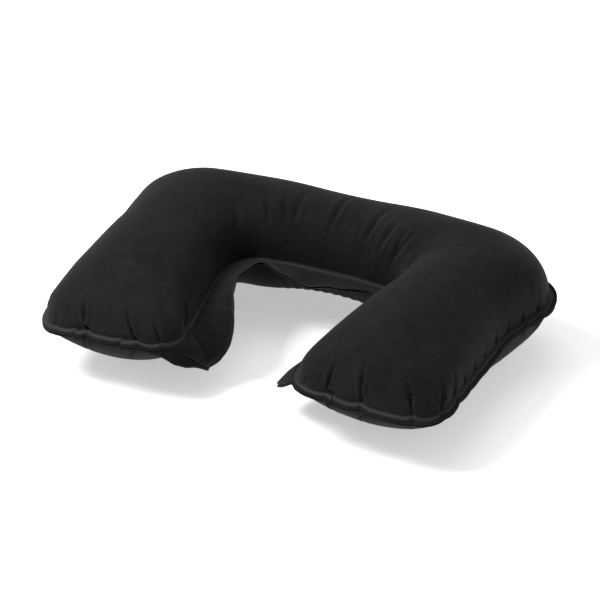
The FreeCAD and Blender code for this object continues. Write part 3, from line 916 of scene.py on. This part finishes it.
surface.inputs["Sheen Tint"].default_value = colour("b9bcc6")
surface.inputs["Specular IOR Level"].default_value = 0.22
add(tree, "ShaderNodeOutputMaterial", Surface=surface.outputs[0])
for skin in (top_skin, bottom_skin):
    skin.data.materials.clear()
    skin.data.materials.append(flock)
print(flock.name, "has", len(tree.nodes), "nodes")

# %% [markdown]
# ### Valve
# The ring, the stem, the strap and the stopper are moulded in one soft black PVC. It's smooth,
# with a slight waviness from the mould, and greasy rather than glossy. The little flap inside is
# punched from clear film.

# %% Valve materials
soft_pvc, tree = new_material("Soft black PVC")
place = add(tree, "ShaderNodeTexCoord").outputs["Object"]
mould = add(tree, "ShaderNodeTexNoise", Vector=place, Scale=features(1.8), Detail=2.0).outputs["Fac"]
relief = add(tree, "ShaderNodeBump", Height=mould, Strength=0.25,
             Distance=0.0001).outputs["Normal"]
wear = add(tree, "ShaderNodeMapRange", Value=mould, To_Min=0.34, To_Max=0.46).outputs[0]
surface = add(tree, "ShaderNodeBsdfPrincipled", Base_Color=colour("26262a"), Roughness=wear,
              IOR=1.53, Normal=relief)
add(tree, "ShaderNodeOutputMaterial", Surface=surface.outputs[0])

clear_film, tree = new_material("Clear PVC film")
surface = add(tree, "ShaderNodeBsdfPrincipled", Base_Color=colour("c4c7cb"), Roughness=0.18,
              IOR=1.53, Transmission_Weight=0.6)
add(tree, "ShaderNodeOutputMaterial", Surface=surface.outputs[0])

for node in ("valve_base", "valve_stem", "stopper_strap", "stopper"):
    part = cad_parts[node]
    part.data.materials.clear()
    part.data.materials.append(soft_pvc)
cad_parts["check_flap"].data.materials.clear()
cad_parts["check_flap"].data.materials.append(clear_film)
print("valve wears", soft_pvc.name, "and", clear_film.name)

# %% [markdown]
# ## Floor, light and camera
# The pillow lies on a white sweep, with a white room round it. Black flock gives little back, so
# the light has to come from large soft sources: one high and to the left behind, one in front,
# and the room itself. A longish lens stands about 1.8 m away.

# %% Floor and room
bpy.ops.mesh.primitive_plane_add(size=14)
floor = bpy.context.active_object
floor.name = "floor"
white, tree = new_material("White sweep")
surface = add(tree, "ShaderNodeBsdfPrincipled", Base_Color=(0.9, 0.9, 0.9, 1), Roughness=0.9,
              Emission_Color=(1, 1, 1, 1), Emission_Strength=0.45)
add(tree, "ShaderNodeOutputMaterial", Surface=surface.outputs[0])
floor.data.materials.append(white)

world = bpy.data.worlds.new("Room")
world.use_nodes = True
bpy.context.scene.world = world
room = world.node_tree.nodes["Background"]
room.inputs["Color"].default_value = (0.98, 0.99, 1.0, 1)
room.inputs["Strength"].default_value = 0.45
print("floor and room are white")

# %% Lamps
CENTRE = Vector((0, Y_SHIFT / 1000, SEAM_Z / 1000))


def view_vectors(azimuth, elevation):
    """Unit vectors back to a viewer, to the viewer's right and up."""
    a, e = math.radians(azimuth), math.radians(elevation)
    back = Vector((math.sin(a) * math.cos(e), -math.cos(a) * math.cos(e), math.sin(e)))
    right = Vector((math.cos(a), math.sin(a), 0))
    return back, right, back.cross(right)


def softbox(name, azimuth, elevation, distance, size, watts):
    """A square area light that looks at the pillow."""
    light = bpy.data.lights.new(name, "AREA")
    light.energy, light.size = watts, size
    lamp = bpy.data.objects.new(name, light)
    back, _, _ = view_vectors(azimuth, elevation)
    lamp.location = CENTRE + back * distance
    lamp.rotation_euler = back.to_track_quat("Z", "Y").to_euler()
    bpy.context.scene.collection.objects.link(lamp)
    return lamp


lamps = [softbox("Key from upper left", -62, 52, 1.6, 0.55, 24),
         softbox("Top", 200, 75, 1.7, 1.2, 5),
         softbox("Fill from the front", 60, 25, 1.8, 0.9, 1.5)]
print(len(lamps), "lamps")

# %% Camera
AZIMUTH, ELEVATION, ROLL = 27.86, 29.27, -1.106
LENS, DISTANCE = 141.5, 1.814
SHIFT_X, SHIFT_Y = 0.0108, 0.0014
back, right, up = view_vectors(AZIMUTH, ELEVATION)
tilt = math.radians(ROLL)
right, up = (right * math.cos(tilt) + up * math.sin(tilt),
             up * math.cos(tilt) - right * math.sin(tilt))
eye = bpy.data.cameras.new("Camera")
eye.lens, eye.sensor_width = LENS, 36
eye.shift_x, eye.shift_y = SHIFT_X, SHIFT_Y
camera = bpy.data.objects.new("Camera", eye)
turn = Matrix((right, up, back)).transposed().to_4x4()
camera.matrix_world = Matrix.Translation(CENTRE + back * DISTANCE) @ turn
bpy.context.scene.collection.objects.link(camera)
bpy.context.scene.camera = camera
bpy.context.scene.view_settings.view_transform = "Standard"
print("camera %.2f m from the pillow's middle, lens %.0f mm" % (DISTANCE, LENS))
